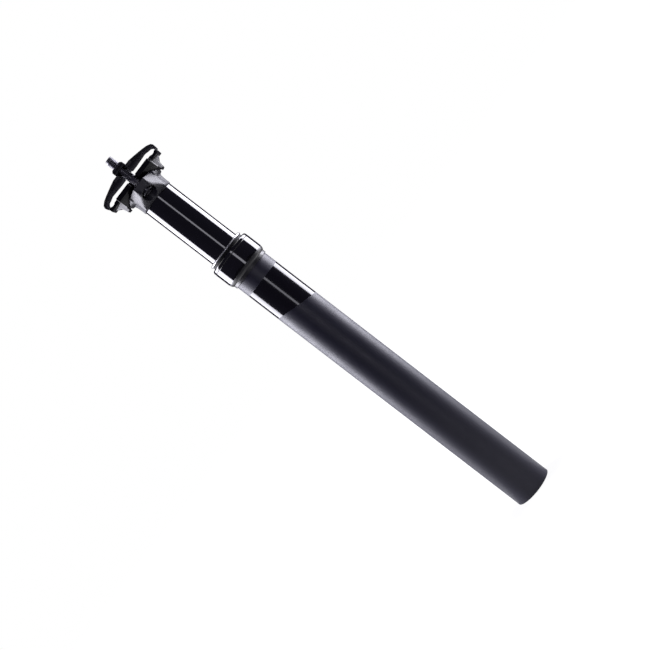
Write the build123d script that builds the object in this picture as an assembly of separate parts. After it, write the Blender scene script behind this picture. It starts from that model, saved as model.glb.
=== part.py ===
from build123d import *
from math import cos, radians, tan
import os

# Telescoping bicycle seatpost with a sprung upper tube and a two-bolt rail clamp.
# Millimetres, +Z up the post, saddle rails along Y (front of the bicycle at -Y), origin at the
# bottom centre of the lower tube.

# Clearances, radial or face to face
FIT = 0.05                  # running fit of a turned pair
SLIDE_GAP = 0.3             # free gap between curved faces that only pass each other
ROCK_GAP = 0.6              # room for a bolt that rocks in its hole or nut

# Lower tube
TUBE_LENGTH = 262.0
TUBE_RADIUS = 15.45
TUBE_WALL = 1.7
TUBE_EDGE = 0.4
THREAD_STEP = 0.35          # how far the threaded top is turned down

# Guide keys and their grooves
KEY_COUNT = 3
KEY_WIDTH = 2.5
KEY_DEPTH = 0.65            # how far a key stands into the lower tube's groove
KEY_SEAT = 0.85             # how deep a key sits in the upper tube
KEY_LENGTH = 10.0
KEY_RISE = 28.0             # above the foot of the upper tube
GROOVE_RUN_OUT = 8.0        # groove left below the keys at full travel

# Collar on the top of the lower tube
COLLAR_COVER = 14.4         # how far it reaches down the tube
COLLAR_HEIGHT = 20.0
COLLAR_LIP_WALL = 0.75      # outside the tube's own surface, as the next three are
COLLAR_LIP = 2.4
COLLAR_WALL = 2.35
COLLAR_CURVE = 3.6          # height of the rounded step from the lip to the body
COLLAR_CURVE_WALL = 1.7     # a third of the way up that step
COLLAR_BEVEL = 2.4
COLLAR_TOP_WALL = 1.3
COLLAR_SHOULDER = 1.6
RING_SECTION = 1.5          # height of the sealing ring under the collar
RING_DEPTH = 0.9
RING_RISE = 7.4             # above the collar's foot

# Wiper seal in the collar's mouth
WIPER_NECK_INSET = 0.45     # inside the lower tube's surface
WIPER_STAND = 3.4           # above the collar
WIPER_LIP = 1.7
WIPER_LIP_INSET = 0.1

# Upper tube and its bearings
STANCHION_INSET = 2.2       # inside the lower tube's surface
STANCHION_WALL = 2.0
EXPOSED_LENGTH = 58.0       # between the wiper and the head
BUSHING_WALL = 0.95
UPPER_BUSHING_LENGTH = 22.0
LOWER_BUSHING_LENGTH = 22.0
TRAVEL = 50.0

# Spring parts
BASE_RECESS = 6.0
BASE_LENGTH = 18.0
ROD_RADIUS = 5.0
ROD_BOLT_RADIUS = 2.5
ROD_BOLT_HEAD_RADIUS = 4.8
ROD_BOLT_HEAD = 4.0
ROD_BOLT_REACH = 20.0
ROD_BOLT_KEY = 4.0
VENT_RADIUS = 1.5
VENT_ORBIT = 9.6
FOOT_FLANGE = 4.0
FOOT_FLANGE_INSET = 0.25    # inside the upper tube's surface
FOOT_LENGTH = 14.0
REBOUND_LENGTH = 4.0
BUMPER_INSET = 0.75         # inside the upper tube's bore, as are the other insets here
BUMPER_LENGTH = 11.5
BUMPER_WAIST = 0.8
BUMPER_CLEAR = 0.5          # gap left under the foot at full travel
PLUNGER_LENGTH = 10.0
PLUNGER_FLOOR = 5.0
PLUNGER_RIM = 3.25          # inset of the plunger's pocket
ROD_NUT_HEIGHT = 4.5
ROD_NUT_ROOM = 0.5          # between the nut's corners and the pocket
STACK_COUNT = 5
SPACER_THICKNESS = 2.0
SPACER_INSET = 0.35
ELASTOMER_INSET = 1.65

# Head at the top of the upper tube
SPIGOT_LENGTH = 29.0
SPIGOT_WALL = 3.25
SPIGOT_BORE_DEPTH = 30.0
NECK_SWELL = 0.85           # beyond the upper tube's surface
NECK_FLARE = 7.0
HEAD_HEIGHT = 15.0          # from the neck's foot to the top of the ears
BLOCK_HALF_WIDTH = 17.2
BLOCK_HALF_LENGTH = 13.0
BLOCK_HEIGHT = 4.9
BLOCK_FRONT_HALF = 12.2     # half widths of its front and lengths of its sides, between slanted corners
BLOCK_SIDE_HALF = 6.5
CRADLE_DEPTH = 4.0
EAR_OVERHANG = 10.5         # beyond the nut's centre
EAR_NOSE = 6.2              # height of the ear's front face
EAR_NOSE_HALF = 5.2
EAR_FLANK_HALF = 11.2       # half width where the ear leaves the block
EAR_SLOPE = 38.7            # degrees, of the ear's underside
EAR_ROOT = 14.5             # height of the ear where it meets the neck
EAR_ROOT_HALF = 14.0

# Tilting rail clamp
RAIL_RADIUS = 3.5
RAIL_OFFSET = 22.3
RAIL_GROOVE = 0.7           # depth of the lower clamp's rail grooves
CLAMP_OPENING = 1.1         # how far the upper clamp lies under its gripping height
LOWER_HEIGHT = 10.5         # from the cradle's floor to the lower clamp's top
LOWER_INSET = 1.0           # from the upper clamp's end in to the lower's
LOWER_WING = 2.9            # thickness of the wings
LOWER_WING_REACH = 4.1      # beyond the rails' centres
WING_HALF_LENGTH = 11.0
FIN_HALF_LENGTH = 8.5
FIN_EDGE = 1.5              # from the wing's tip in to the fin's outer edge
FIN_GAP = 0.4               # between a fin and the head's block
FIN_PROFILE = ((2.3, 11.2), (3.2, 6.3), (6.2, 3.8))     # outwards from the fin's inner face, and down
UPPER_CROWN = 4.2
UPPER_RELIEF = 1.1          # how much higher its underside is between the rails
UPPER_HALF_LENGTH = 17.6
UPPER_WAIST = 9.0
# Upper clamp's bow, outwards from the rails' centres and up from its underside
UPPER_BOW = ((-13.8, 3.8), (-8.5, 3.0), (-2.7, 1.9), (1.5, 0.9), (4.4, -0.6), (5.3, -2.4), (5.1, -4.1),
             (3.9, -4.5))
UPPER_TIP_REACH = 5.3       # the bow's tip, beyond the rails' centres
NOTCH_RADIUS = 3.8
NOTCH_INSET = 0.7           # from the nut's centre out to the notch's

# Clamp bolts, washers and nuts
BOLT_RADIUS = 3.0
BOLT_SPLAY = 10.5           # degrees each bolt leans out at its foot
BOLT_SEAT_DEPTH = 3.61      # below the top of the ears
BOLT_HEAD_RADIUS = 4.6
BOLT_HEAD = 4.0
BOLT_KEY = 4.0
BOLT_KEY_DEPTH = 2.4
BOLT_EDGE = 0.5
FRONT_BOLT_STUB = 6.4       # above the nut's centre
REAR_BOLT_STUB = 12.3
WASHER_RADIUS = 5.1
WASHER_THICKNESS = 1.4
WASHER_SPHERE = 14.0
RECESS_GAP = 0.45
NUT_INSET = 4.1             # from the upper clamp's end in to the nut's centre
NUT_RADIUS = 5.1
NUT_LENGTH = 10.2
NUT_SEAT = 2.4              # from the upper clamp's rail grooves up to the nut
NUT_FLAT = 0.5              # flat top above the nut's centre
NUT_EDGE = 1.3              # chamfer at the ends of the flat

# Radii worked out from the sizes above
BORE_RADIUS = TUBE_RADIUS - TUBE_WALL
THREAD_RADIUS = TUBE_RADIUS - THREAD_STEP
COLLAR_LIP_RADIUS = TUBE_RADIUS + COLLAR_LIP_WALL
COLLAR_RADIUS = TUBE_RADIUS + COLLAR_WALL
COLLAR_CURVE_RADIUS = TUBE_RADIUS + COLLAR_CURVE_WALL
COLLAR_TOP_RADIUS = TUBE_RADIUS + COLLAR_TOP_WALL
WIPER_NECK_RADIUS = TUBE_RADIUS - WIPER_NECK_INSET
WIPER_LIP_RADIUS = TUBE_RADIUS - WIPER_LIP_INSET
STANCHION_RADIUS = TUBE_RADIUS - STANCHION_INSET
BUSHING_INNER = STANCHION_RADIUS + FIT
BUSHING_OUTER = BUSHING_INNER + BUSHING_WALL
STANCHION_BORE = STANCHION_RADIUS - STANCHION_WALL
ROD_NUT_FLATS = 2 * (STANCHION_BORE - PLUNGER_RIM - ROD_NUT_ROOM) * cos(radians(30))
FOOT_FLANGE_RADIUS = STANCHION_RADIUS - FOOT_FLANGE_INSET
BUMPER_RADIUS = STANCHION_BORE - BUMPER_INSET
PLUNGER_POCKET = STANCHION_BORE - PLUNGER_RIM
SPACER_RADIUS = STANCHION_BORE - SPACER_INSET
ELASTOMER_RADIUS = STANCHION_BORE - ELASTOMER_INSET
SPIGOT_BORE = STANCHION_BORE - SPIGOT_WALL
NECK_RADIUS = STANCHION_RADIUS + NECK_SWELL
SLIDER_RADIUS = BORE_RADIUS - FIT
SLIDER_SEAT = SLIDER_RADIUS - BUSHING_WALL
KEY_INNER = STANCHION_RADIUS - KEY_SEAT
KEY_OUTER = BORE_RADIUS + KEY_DEPTH - FIT

# Heights worked out from the foot upwards
BASE_TOP = BASE_RECESS + BASE_LENGTH
ROD_BOLT_SEAT = BASE_RECESS + ROD_BOLT_HEAD
BUMPER_TOP = BASE_TOP + BUMPER_LENGTH
FOOT_BOTTOM = BUMPER_TOP + BUMPER_CLEAR + TRAVEL
STANCHION_BOTTOM = FOOT_BOTTOM + FOOT_FLANGE
SLIDER_TOP = STANCHION_BOTTOM + LOWER_BUSHING_LENGTH
KEY_BOTTOM = STANCHION_BOTTOM + KEY_RISE
GROOVE_BOTTOM = KEY_BOTTOM - TRAVEL - GROOVE_RUN_OUT
COLLAR_BOTTOM = TUBE_LENGTH - COLLAR_COVER
COLLAR_TOP = COLLAR_BOTTOM + COLLAR_HEIGHT
RING_BOTTOM = COLLAR_BOTTOM + RING_RISE
SHOULDER_TOP = TUBE_LENGTH + COLLAR_SHOULDER
BUSHING_FOOT = TUBE_LENGTH - UPPER_BUSHING_LENGTH
WIPER_TOP = COLLAR_TOP + WIPER_STAND
STANCHION_TOP = WIPER_TOP + EXPOSED_LENGTH
FOOT_TOP = STANCHION_BOTTOM + FOOT_LENGTH
PLUNGER_BOTTOM = FOOT_TOP + REBOUND_LENGTH
PLUNGER_SEAT = PLUNGER_BOTTOM + PLUNGER_FLOOR
PLUNGER_TOP = PLUNGER_BOTTOM + PLUNGER_LENGTH
SPIGOT_BOTTOM = STANCHION_TOP - SPIGOT_LENGTH
STACK_LENGTH = SPIGOT_BOTTOM - PLUNGER_TOP
ELASTOMER_LENGTH = (STACK_LENGTH - (STACK_COUNT + 1) * SPACER_THICKNESS) / STACK_COUNT
STACK_PITCH = ELASTOMER_LENGTH + SPACER_THICKNESS
EAR_TOP = STANCHION_TOP + HEAD_HEIGHT
CRADLE_FLOOR = EAR_TOP - CRADLE_DEPTH
LOWER_TOP = CRADLE_FLOOR + LOWER_HEIGHT
RAIL_HEIGHT = LOWER_TOP + RAIL_RADIUS - RAIL_GROOVE
UPPER_BOTTOM = RAIL_HEIGHT + RAIL_RADIUS - CLAMP_OPENING
TILT_HEIGHT = UPPER_BOTTOM + NUT_SEAT + NUT_RADIUS
CRADLE_RADIUS = TILT_HEIGHT - CRADLE_FLOOR
BOLT_SEAT_HEIGHT = EAR_TOP - BOLT_SEAT_DEPTH

# Reaches worked out across the head
NUT_OFFSET = UPPER_HALF_LENGTH - NUT_INSET
LOWER_HALF_LENGTH = UPPER_HALF_LENGTH - LOWER_INSET
EAR_REACH = NUT_OFFSET + EAR_OVERHANG
NOTCH_CENTRE = NUT_OFFSET + NOTCH_INSET
FIN_INNER = BLOCK_HALF_WIDTH + FIN_GAP
LOWER_TIP = RAIL_OFFSET + LOWER_WING_REACH
CLEAR = 4 * EAR_REACH       # longer than any cut across the head


def ring(outer, inner, bottom, top):
    """A plain ring about the post's axis."""
    return Pos(0, 0, bottom) * extrude(Circle(outer) - Circle(inner), top - bottom)


def disc(radius, bottom, top):
    return Pos(0, 0, bottom) * extrude(Circle(radius), top - bottom)


def turned(*points):
    """A solid turned about the post's axis from (radius, height) points."""
    return revolve(Plane.XZ * make_face(Polyline(*points, close=True)), axis=Axis.Z)


def cross_bar(radius, length, y, z):
    """A round bar along X."""
    return Pos(0, y, z) * Rot(0, 90, 0) * Cylinder(radius, length)


def across(points, half_length):
    """A profile across the rails, given as (x, z) points and extruded along them."""
    return extrude(Plane.XZ * make_face(Polyline(*points, close=True)), half_length, both=True)


def mirrored(half):
    """Close a half outline, given from the centre outwards, with its mirror image."""
    return list(half) + [(-x, z) for x, z in reversed(half) if x > 0]


def bolt_frame(side):
    """The bolt's own frame: origin at its seat in the head, +Z up the bolt. side is -1 in front."""
    drop = TILT_HEIGHT - BOLT_SEAT_HEIGHT
    seat = side * (NUT_OFFSET + drop * tan(radians(BOLT_SPLAY)))
    return Pos(0, seat, BOLT_SEAT_HEIGHT) * Rot(side * BOLT_SPLAY, 0, 0)


def plan(*quarter):
    """A face seen from above, the same to all four sides, from the (x, y) points of one quarter."""
    right = list(quarter) + [(x, -y) for x, y in reversed(quarter) if y > 0]
    return make_face(Polyline(*right, *[(-x, y) for x, y in reversed(right)], close=True))


def hexagon(flats, depth):
    return extrude(RegularPolygon(flats / 2, 6, major_radius=False), depth)


def round_around(shape, count):
    """Copies of a shape, evenly spaced about the post's axis."""
    return [Rot(0, 0, 360 * i / count) * shape for i in range(count)]


# Lower tube: counterbored for the upper bushing, turned down for the collar's thread, key grooves
def outer_tube():
    tube = ring(TUBE_RADIUS, BORE_RADIUS, 0, TUBE_LENGTH)
    tube -= ring(2 * TUBE_RADIUS, THREAD_RADIUS, COLLAR_BOTTOM, TUBE_LENGTH)
    tube -= disc(BUSHING_OUTER, BUSHING_FOOT, TUBE_LENGTH)
    depth = KEY_DEPTH + BUSHING_WALL
    groove = Pos(BORE_RADIUS + KEY_DEPTH - depth / 2, 0, (GROOVE_BOTTOM + BUSHING_FOOT) / 2) * Box(
        depth, KEY_WIDTH + 2 * FIT, BUSHING_FOOT - GROOVE_BOTTOM)
    for copy in round_around(groove, KEY_COUNT):
        tube -= copy
    rim = tube.edges().filter_by(GeomType.CIRCLE).group_by(Axis.Z)[0].sort_by(SortBy.RADIUS)[-1]
    return chamfer(rim, TUBE_EDGE)


# Collar: screwed over the tube's top, it holds the upper bushing down and carries the wiper
def collar():
    lip_top = COLLAR_BOTTOM + COLLAR_LIP
    mouth = STANCHION_RADIUS + SLIDE_GAP
    body = turned((THREAD_RADIUS, COLLAR_BOTTOM), (COLLAR_LIP_RADIUS, COLLAR_BOTTOM),
                  (COLLAR_LIP_RADIUS, lip_top), (COLLAR_CURVE_RADIUS, lip_top + COLLAR_CURVE / 3),
                  (COLLAR_RADIUS, lip_top + COLLAR_CURVE), (COLLAR_RADIUS, COLLAR_TOP - COLLAR_BEVEL),
                  (COLLAR_TOP_RADIUS, COLLAR_TOP), (WIPER_NECK_RADIUS, COLLAR_TOP),
                  (WIPER_NECK_RADIUS, SHOULDER_TOP), (mouth, SHOULDER_TOP), (mouth, TUBE_LENGTH),
                  (THREAD_RADIUS, TUBE_LENGTH))
    return body - collar_o_ring()


def collar_o_ring():
    return ring(THREAD_RADIUS + RING_DEPTH, THREAD_RADIUS, RING_BOTTOM, RING_BOTTOM + RING_SECTION)


# Wiper: a rubber ring with a thin lip that shows above the collar
def wiper_seal():
    lip = WIPER_TOP - WIPER_LIP
    return turned((BUSHING_INNER, SHOULDER_TOP), (WIPER_NECK_RADIUS, SHOULDER_TOP),
                  (WIPER_NECK_RADIUS, lip), (WIPER_LIP_RADIUS, lip),
                  (WIPER_LIP_RADIUS, WIPER_TOP - SLIDE_GAP), (WIPER_LIP_RADIUS - SLIDE_GAP, WIPER_TOP),
                  (BUSHING_INNER, WIPER_TOP))


def upper_bushing():
    return ring(BUSHING_OUTER, BUSHING_INNER, BUSHING_FOOT, TUBE_LENGTH)


def lower_bushing():
    return ring(SLIDER_RADIUS, SLIDER_SEAT, STANCHION_BOTTOM, SLIDER_TOP)


# Upper tube: necked for the lower bushing, with pockets for the guide keys
def stanchion_tube():
    tube = ring(STANCHION_RADIUS, STANCHION_BORE, STANCHION_BOTTOM, STANCHION_TOP)
    tube -= ring(STANCHION_RADIUS, SLIDER_SEAT, STANCHION_BOTTOM, SLIDER_TOP)
    return tube - guide_keys()


# Guide keys: they stop the upper tube from turning
def guide_keys():
    key = Pos(0, 0, KEY_BOTTOM + KEY_LENGTH / 2) * Rot(0, 90, 0) * extrude(
        SlotOverall(KEY_LENGTH, KEY_WIDTH), KEY_OUTER)
    key -= disc(KEY_INNER, KEY_BOTTOM - KEY_WIDTH, KEY_BOTTOM + KEY_LENGTH + KEY_WIDTH)
    return Compound(children=round_around(key.solid(), KEY_COUNT))


# Base plug: screwed into the foot of the lower tube, it anchors the spring rod
def base_plug():
    plug = disc(BORE_RADIUS, BASE_RECESS, BASE_TOP)
    plug -= disc(ROD_BOLT_RADIUS, BASE_RECESS, BASE_TOP)
    plug -= disc(ROD_BOLT_HEAD_RADIUS + SLIDE_GAP, BASE_RECESS, ROD_BOLT_SEAT)
    for vent in round_around(Pos(VENT_ORBIT, 0, 0) * disc(VENT_RADIUS, BASE_RECESS, BASE_TOP), 2):
        plug -= vent
    return plug


def rod_bolt():
    bolt = disc(ROD_BOLT_HEAD_RADIUS, BASE_RECESS, ROD_BOLT_SEAT)
    bolt += disc(ROD_BOLT_RADIUS, ROD_BOLT_SEAT, ROD_BOLT_SEAT + ROD_BOLT_REACH)
    return bolt - Pos(0, 0, BASE_RECESS) * hexagon(ROD_BOLT_KEY, ROD_BOLT_HEAD / 2)


def push_rod():
    rod = disc(ROD_RADIUS, BASE_TOP, PLUNGER_BOTTOM)
    rod += disc(ROD_BOLT_RADIUS, PLUNGER_BOTTOM, PLUNGER_SEAT + ROD_NUT_HEIGHT)
    return rod - disc(ROD_BOLT_RADIUS, BASE_TOP, ROD_BOLT_SEAT + ROD_BOLT_REACH)


# Plunger: the cup on the rod's end that carries the elastomer stack
def plunger():
    cup = disc(STANCHION_BORE - 2 * FIT, PLUNGER_BOTTOM, PLUNGER_TOP)
    cup -= disc(PLUNGER_POCKET, PLUNGER_SEAT, PLUNGER_TOP)
    return cup - disc(ROD_BOLT_RADIUS, PLUNGER_BOTTOM, PLUNGER_TOP)


def rod_nut():
    nut = Pos(0, 0, PLUNGER_SEAT) * hexagon(ROD_NUT_FLATS, ROD_NUT_HEIGHT)
    return nut - disc(ROD_BOLT_RADIUS, PLUNGER_SEAT, PLUNGER_TOP)


def top_out_bumper():
    return ring(BUMPER_RADIUS, ROD_RADIUS, FOOT_TOP, PLUNGER_BOTTOM)


def bottom_out_bumper():
    return turned((ROD_RADIUS, BASE_TOP), (BUMPER_RADIUS, BASE_TOP),
                  (BUMPER_RADIUS - BUMPER_WAIST, (BASE_TOP + BUMPER_TOP) / 2),
                  (BUMPER_RADIUS, BUMPER_TOP), (ROD_RADIUS, BUMPER_TOP))


# Foot nut: closes the upper tube, holds the lower bushing and slides along the rod
def foot_nut():
    nut = disc(STANCHION_BORE, STANCHION_BOTTOM, FOOT_TOP)
    nut += disc(FOOT_FLANGE_RADIUS, FOOT_BOTTOM, STANCHION_BOTTOM)
    return nut - disc(ROD_RADIUS + FIT, FOOT_BOTTOM, FOOT_TOP)


def stack_discs(radius, bottom, thickness, count):
    """Discs of the spring stack, one pitch apart, from the given height upwards."""
    return Compound(children=[
        disc(radius, bottom + i * STACK_PITCH, bottom + i * STACK_PITCH + thickness).solid()
        for i in range(count)])


def elastomers():
    return stack_discs(ELASTOMER_RADIUS, PLUNGER_TOP + SPACER_THICKNESS, ELASTOMER_LENGTH, STACK_COUNT)


def stack_spacers():
    return stack_discs(SPACER_RADIUS, PLUNGER_TOP, SPACER_THICKNESS, STACK_COUNT + 1)


# Head: forged in one piece, with a spigot in the upper tube, a cradle and two bolt ears
def ears():
    """Both ears: a plan that narrows to each nose, cut to a side view that slopes in below it."""
    outline = plan((EAR_NOSE_HALF, EAR_REACH), (EAR_FLANK_HALF, BLOCK_HALF_LENGTH), (EAR_ROOT_HALF, 0))
    column = Pos(0, 0, EAR_TOP - EAR_ROOT) * extrude(outline, EAR_ROOT)
    run = (EAR_ROOT - EAR_NOSE) / tan(radians(EAR_SLOPE))
    side = mirrored([(0, EAR_TOP), (EAR_REACH, EAR_TOP), (EAR_REACH, EAR_TOP - EAR_NOSE),
                     (EAR_REACH - run, EAR_TOP - EAR_ROOT), (0, EAR_TOP - EAR_ROOT)])
    return column & Rot(0, 0, 90) * across(side, BLOCK_HALF_WIDTH)


def bolt_cavity(side):
    """Clearance hole, dished washer seat and head recess of one clamp bolt."""
    well = WASHER_RADIUS + RECESS_GAP
    hole = Cylinder(BOLT_RADIUS + ROCK_GAP, 4 * BOLT_HEAD)
    recess = Pos(0, 0, -2 * BOLT_HEAD - WASHER_THICKNESS / 2) * Cylinder(well, 4 * BOLT_HEAD)
    dish = Pos(0, 0, -WASHER_SPHERE) * Sphere(WASHER_SPHERE)
    dish &= Pos(0, 0, -WASHER_THICKNESS / 2) * Cylinder(well, 3 * WASHER_THICKNESS)
    return bolt_frame(side) * (hole + recess + dish)


def post_head():
    flare_top = STANCHION_TOP + NECK_FLARE
    body = turned((0, SPIGOT_BOTTOM), (STANCHION_BORE, SPIGOT_BOTTOM), (STANCHION_BORE, STANCHION_TOP),
                  (STANCHION_RADIUS, STANCHION_TOP), (NECK_RADIUS, flare_top), (NECK_RADIUS, EAR_TOP),
                  (0, EAR_TOP))
    block = plan((BLOCK_FRONT_HALF, BLOCK_HALF_LENGTH), (BLOCK_HALF_WIDTH, BLOCK_SIDE_HALF))
    body += Pos(0, 0, EAR_TOP - BLOCK_HEIGHT) * extrude(block, BLOCK_HEIGHT)
    body += ears()
    body -= disc(SPIGOT_BORE, SPIGOT_BOTTOM, SPIGOT_BOTTOM + SPIGOT_BORE_DEPTH)
    body -= cross_bar(CRADLE_RADIUS, CLEAR, 0, TILT_HEIGHT)
    return body - bolt_cavity(-1) - bolt_cavity(1)


# Rail clamps: each is a profile across the rails, trimmed from above and from the side
def notches():
    """U-notches for the bolts, open to the front and to the back."""
    reach = EAR_REACH - NOTCH_CENTRE + NOTCH_RADIUS
    notch = extrude(SlotOverall(2 * reach, 2 * NOTCH_RADIUS, rotation=90), 2 * CRADLE_RADIUS)
    return [Pos(0, side * EAR_REACH, CRADLE_FLOOR) * notch for side in (-1, 1)]


def rail_channels(height):
    bar = Rot(90, 0, 0) * Cylinder(RAIL_RADIUS, CLEAR)
    return [Pos(side * RAIL_OFFSET, 0, height) * bar for side in (-1, 1)]


def fins():
    """Cheeks that hang beside the head's block: each thins outwards, in front view and in plan."""
    outline = [(FIN_INNER, LOWER_TOP), (FIN_INNER, LOWER_TOP - FIN_PROFILE[0][1])]
    outline += [(FIN_INNER + out, LOWER_TOP - down) for out, down in FIN_PROFILE]
    outline += [(LOWER_TIP, LOWER_TOP - LOWER_WING), (LOWER_TIP, LOWER_TOP)]
    wedge = make_face(Polyline((FIN_INNER, FIN_HALF_LENGTH), (LOWER_TIP - FIN_EDGE, 0),
                               (FIN_INNER, -FIN_HALF_LENGTH), close=True))
    fin = across(outline, FIN_HALF_LENGTH)
    fin &= Pos(0, 0, LOWER_TOP - CRADLE_RADIUS) * extrude(wedge, CRADLE_RADIUS)
    return [fin, fin.mirror(Plane.YZ)]


def lower_clamp():
    body = cross_bar(CRADLE_RADIUS - FIT, 2 * FIN_INNER, 0, TILT_HEIGHT)
    body &= Pos(0, 0, LOWER_TOP - CRADLE_RADIUS / 2) * Box(CLEAR, 2 * LOWER_HALF_LENGTH, CRADLE_RADIUS)
    body += Pos(0, 0, LOWER_TOP - LOWER_WING / 2) * Box(2 * LOWER_TIP, 2 * WING_HALF_LENGTH, LOWER_WING)
    for fin in fins():
        body += fin
    for cut in notches() + rail_channels(RAIL_HEIGHT):
        body -= cut
    return body


def upper_clamp():
    relief = UPPER_BOTTOM + UPPER_RELIEF
    half = [(0, relief), (RAIL_OFFSET - RAIL_RADIUS, relief), (RAIL_OFFSET, UPPER_BOTTOM),
            (RAIL_OFFSET + RAIL_RADIUS, UPPER_BOTTOM - RAIL_RADIUS)]
    half += [(RAIL_OFFSET + out, UPPER_BOTTOM + up) for out, up in reversed(UPPER_BOW)]
    half += [(0, UPPER_BOTTOM + UPPER_CROWN)]
    bow = across(mirrored(half), UPPER_HALF_LENGTH)
    trim = plan((UPPER_WAIST, UPPER_HALF_LENGTH), (RAIL_OFFSET + UPPER_TIP_REACH, WING_HALF_LENGTH))
    bow &= Pos(0, 0, LOWER_TOP) * extrude(trim, CRADLE_RADIUS)
    for side in (-1, 1):
        bow -= cross_bar(NUT_RADIUS + FIT, NUT_LENGTH + 2 * SLIDE_GAP, side * NUT_OFFSET, TILT_HEIGHT)
    for cut in notches() + rail_channels(RAIL_HEIGHT - CLAMP_OPENING):
        bow -= cut
    return bow


# Clamp bolts with domed washers under their heads and half-round barrel nuts above
def clamp_bolt(side, stub):
    shank = (TILT_HEIGHT + stub - BOLT_SEAT_HEIGHT) / cos(radians(BOLT_SPLAY)) + WASHER_THICKNESS
    head_bottom = -WASHER_THICKNESS - BOLT_HEAD
    bolt = Pos(0, 0, head_bottom + BOLT_HEAD / 2) * Cylinder(BOLT_HEAD_RADIUS, BOLT_HEAD)
    rim = bolt.edges().filter_by(GeomType.CIRCLE).group_by(Axis.Z)[0]
    bolt = chamfer(rim, BOLT_EDGE)
    bolt += Pos(0, 0, shank / 2 - WASHER_THICKNESS) * Cylinder(BOLT_RADIUS, shank)
    bolt -= Pos(0, 0, head_bottom) * hexagon(BOLT_KEY, BOLT_KEY_DEPTH)
    return bolt_frame(side) * bolt


def clamp_washer(side):
    dome = Pos(0, 0, -WASHER_SPHERE) * Sphere(WASHER_SPHERE - FIT)
    washer = dome & Pos(0, 0, -WASHER_THICKNESS / 2) * Cylinder(WASHER_RADIUS, WASHER_THICKNESS)
    return bolt_frame(side) * (washer - Cylinder(BOLT_RADIUS + FIT, 4 * BOLT_HEAD))


def clamp_nut(side):
    nut = cross_bar(NUT_RADIUS, NUT_LENGTH, 0, 0)
    nut -= Pos(0, 0, NUT_FLAT + NUT_RADIUS) * Box(2 * NUT_LENGTH, 4 * NUT_RADIUS, 2 * NUT_RADIUS)
    nut = chamfer(nut.edges().filter_by(Axis.Y), NUT_EDGE)
    bore = Rot(side * BOLT_SPLAY, 0, 0) * Cylinder(BOLT_RADIUS + ROCK_GAP, 4 * NUT_RADIUS)
    return Pos(0, side * NUT_OFFSET, TILT_HEIGHT) * (nut - bore)


NODES = {
    "outer_tube": outer_tube(),
    "collar": collar(),
    "collar_o_ring": collar_o_ring(),
    "wiper_seal": wiper_seal(),
    "upper_bushing": upper_bushing(),
    "lower_bushing": lower_bushing(),
    "stanchion_tube": stanchion_tube(),
    "guide_keys": guide_keys(),
    "base_plug": base_plug(),
    "rod_bolt": rod_bolt(),
    "push_rod": push_rod(),
    "plunger": plunger(),
    "rod_nut": rod_nut(),
    "top_out_bumper": top_out_bumper(),
    "bottom_out_bumper": bottom_out_bumper(),
    "foot_nut": foot_nut(),
    "elastomers": elastomers(),
    "stack_spacers": stack_spacers(),
    "post_head": post_head(),
    "lower_clamp": lower_clamp(),
    "upper_clamp": upper_clamp(),
    "front_bolt": clamp_bolt(-1, FRONT_BOLT_STUB),
    "rear_bolt": clamp_bolt(1, REAR_BOLT_STUB),
    "front_washer": clamp_washer(-1),
    "rear_washer": clamp_washer(1),
    "front_nut": clamp_nut(-1),
    "rear_nut": clamp_nut(1),
}

os.makedirs("parts", exist_ok=True)
for name, shape in NODES.items():
    export_step(shape, f"parts/{name}.step")
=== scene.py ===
import math

import bmesh
import bpy
from mathutils import Matrix, Vector


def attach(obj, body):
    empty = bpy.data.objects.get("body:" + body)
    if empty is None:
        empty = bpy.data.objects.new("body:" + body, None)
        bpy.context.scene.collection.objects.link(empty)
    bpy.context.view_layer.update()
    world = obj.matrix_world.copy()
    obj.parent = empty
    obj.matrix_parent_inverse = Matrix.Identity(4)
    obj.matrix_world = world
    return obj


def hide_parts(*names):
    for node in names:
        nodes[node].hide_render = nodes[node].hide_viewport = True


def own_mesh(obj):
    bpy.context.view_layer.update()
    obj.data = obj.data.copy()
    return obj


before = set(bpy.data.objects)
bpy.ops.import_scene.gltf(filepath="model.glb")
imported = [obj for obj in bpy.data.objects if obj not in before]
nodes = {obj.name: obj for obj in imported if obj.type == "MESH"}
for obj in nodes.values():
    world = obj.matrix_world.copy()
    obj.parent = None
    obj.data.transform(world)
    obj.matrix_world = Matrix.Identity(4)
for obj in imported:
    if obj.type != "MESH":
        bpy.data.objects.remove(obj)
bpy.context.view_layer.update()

# Studio camera. The post stands upright in its own frame, and the photograph has it lying
# diagonally, so the camera is level and rolled until the post's head is at the upper left. The
# photograph is cut from one side of a wider picture, so the lens is shifted across its width.
MM = 0.001
CAMERA_PLACE = Vector((19.86, -888.22, 238.72)) * MM
CAMERA_AIM = Vector((-37.61, 0.0, 233.89)) * MM
CAMERA_ROLL = math.radians(52.443)
LENS_MM = 70.683
SENSOR_MM = 36.0
SHIFT = 0.14

forward = (CAMERA_AIM - CAMERA_PLACE).normalized()
level_right = forward.cross(Vector((0, 0, 1))).normalized()
level_up = level_right.cross(forward)
right = math.cos(CAMERA_ROLL) * level_right - math.sin(CAMERA_ROLL) * level_up
up = right.cross(forward)
camera_data = bpy.data.cameras.new("studio_camera")
camera_data.lens = LENS_MM
camera_data.sensor_width = SENSOR_MM
camera_data.shift_x = SHIFT
camera = bpy.data.objects.new("studio_camera", camera_data)
bpy.context.scene.collection.objects.link(camera)
camera.matrix_world = Matrix.Translation(CAMERA_PLACE) @ Matrix((right, up, -forward)).transposed().to_4x4()
bpy.context.scene.camera = camera
bpy.context.scene.view_settings.view_transform = "Standard"


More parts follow.
